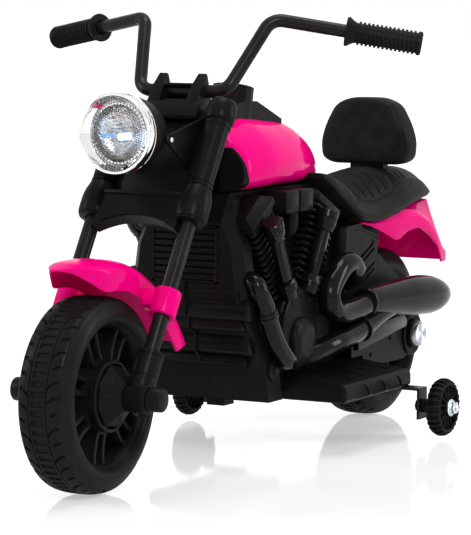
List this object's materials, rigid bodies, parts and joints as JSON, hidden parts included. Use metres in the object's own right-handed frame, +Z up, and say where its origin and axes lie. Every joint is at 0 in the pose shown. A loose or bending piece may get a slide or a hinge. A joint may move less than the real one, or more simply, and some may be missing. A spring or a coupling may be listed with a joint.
{
  "type": "kids ride-on motorcycle",
  "caption": "Low cruiser-style battery ride-on for a toddler, with tall handlebar, round headlight, finned engine mouldings, padded seat with backrest and small stabiliser wheels.",
  "frame": {"origin": "on the floor under the middle of the bounding box", "axes": "front wheel towards -Y, +X the rider's left side, +Z up"},
  "size_m": [0.4722, 0.9148, 0.5003],
  "materials": {
    "pink_gloss": "glossy",
    "black_matt": "fine satin",
    "black_gloss": "glossy",
    "wheel_plastic": "matt",
    "black_tube": "satin black paint",
    "chrome_trim": "bright plated plastic",
    "silver_trim": "radially brushed",
    "zinc": "zinc plated",
    "steel": "bright",
    "leatherette": "satin grained",
    "clear_lens": "clear",
    "red_lens": "glossy",
    "grey_plastic": "matt",
    "white_plastic": "glossy"
  },
  "bodies": {
    "frame": {"backrest_pad": "leatherette", "backrest_post": "black_matt", "battery": "grey_plastic", "body_shell_left": "black_matt", "body_shell_right": "black_matt", "cam_cover_left": "black_matt", "cam_cover_right": "black_matt", "dash_console": "black_matt", "drive_motor": "steel", "engine_cover_left": "black_matt", "engine_cover_right": "black_matt", "exhaust_left": "black_gloss", "exhaust_right": "black_gloss", "footrest_left": "black_matt", "footrest_right": "black_matt", "front_grille": "black_matt", "fuel_tank": "pink_gloss", "gauge_face": "white_plastic", "gearbox": "white_plastic", "intake_left": "black_matt", "intake_right": "black_matt", "rear_axle": "steel", "rear_axle_cap_left": "silver_trim", "rear_axle_cap_right": "silver_trim", "rear_fender": "pink_gloss", "seat": "leatherette", "tail_lamp": "red_lens", "training_bolt_left": "zinc", "training_bolt_right": "zinc", "training_bracket_left": "black_tube", "training_bracket_right": "black_tube"},
    "steering": {"fork_cover": "black_matt", "fork_tube_left": "black_tube", "fork_tube_right": "black_tube", "fork_end_left": "black_matt", "fork_end_right": "black_matt", "front_axle": "steel", "axle_cap_left": "black_gloss", "axle_cap_right": "black_gloss", "handlebar": "black_tube", "handlebar_clamp": "black_matt", "grip_left": "black_matt", "grip_right": "black_matt", "headlight_bezel": "chrome_trim", "headlight_bowl": "black_matt", "headlight_lens": "clear_lens", "headlight_reflector": "chrome_trim", "front_fender": "pink_gloss", "steering_stem": "steel"},
    "front_wheel_set": {"front_wheel": "wheel_plastic", "hub_cap_left": "black_matt", "hub_cap_right": "black_matt"},
    "rear_wheel_set": {"rear_wheel": "wheel_plastic"},
    "training_wheel_left_set": {"training_wheel_left": "wheel_plastic"},
    "training_wheel_right_set": {"training_wheel_right": "wheel_plastic"},
    "pedal": {"accelerator_pedal": "black_matt"},
    "music_button": {"music_button": "white_plastic"},
    "horn_button": {"horn_button": "white_plastic"},
    "power_rocker": {"power_switch": "black_matt"},
    "direction_rocker": {"direction_switch": "black_matt"}
  },
  "joints": [
    {"name": "steering", "type": "hinge", "parent": "frame", "child": "steering", "pos_m": [0, -0.33579, 0.0944], "axis": [0, 0.5299, 0.848], "range_deg": [-30, 30]},
    {"name": "front_wheel_spin", "type": "hinge", "parent": "steering", "child": "front_wheel_set", "pos_m": [0, -0.35275, 0.105], "axis": [1, 0, 0], "continuous": true},
    {"name": "rear_wheel_spin", "type": "hinge", "parent": "frame", "child": "rear_wheel_set", "pos_m": [0, 0.32725, 0.105], "axis": [1, 0, 0], "continuous": true},
    {"name": "training_wheel_left_spin", "type": "hinge", "parent": "frame", "child": "training_wheel_left_set", "pos_m": [0.17, 0.18125, 0.0383], "axis": [1, 0, 0], "continuous": true},
    {"name": "training_wheel_right_spin", "type": "hinge", "parent": "frame", "child": "training_wheel_right_set", "pos_m": [-0.17, 0.18125, 0.0383], "axis": [1, 0, 0], "continuous": true},
    {"name": "accelerator_pedal", "type": "hinge", "parent": "frame", "child": "pedal", "pos_m": [-0.087, 0.08925, 0.0795], "axis": [1, 0, 0], "range_deg": [0, 10], "stiffness_Nm_per_rad": 1, "springref_deg": -5.73},
    {"name": "music_button_press", "type": "slide", "parent": "frame", "child": "music_button", "axis": [0, -0.3344, -0.9424], "range_m": [0, 0.0014], "stiffness_N_per_m": 200, "springref_m": -0.001},
    {"name": "horn_button_press", "type": "slide", "parent": "frame", "child": "horn_button", "axis": [0, -0.3344, -0.9424], "range_m": [0, 0.0014], "stiffness_N_per_m": 200, "springref_m": -0.001},
    {"name": "power_rocker_tilt", "type": "hinge", "parent": "frame", "child": "power_rocker", "pos_m": [0.0095, 0.00587, 0.39297], "axis": [1, 0, 0], "range_deg": [-16, 0]},
    {"name": "direction_rocker_tilt", "type": "hinge", "parent": "frame", "child": "direction_rocker", "pos_m": [-0.0095, 0.00587, 0.39297], "axis": [1, 0, 0], "range_deg": [-8, 8]}
  ]
}
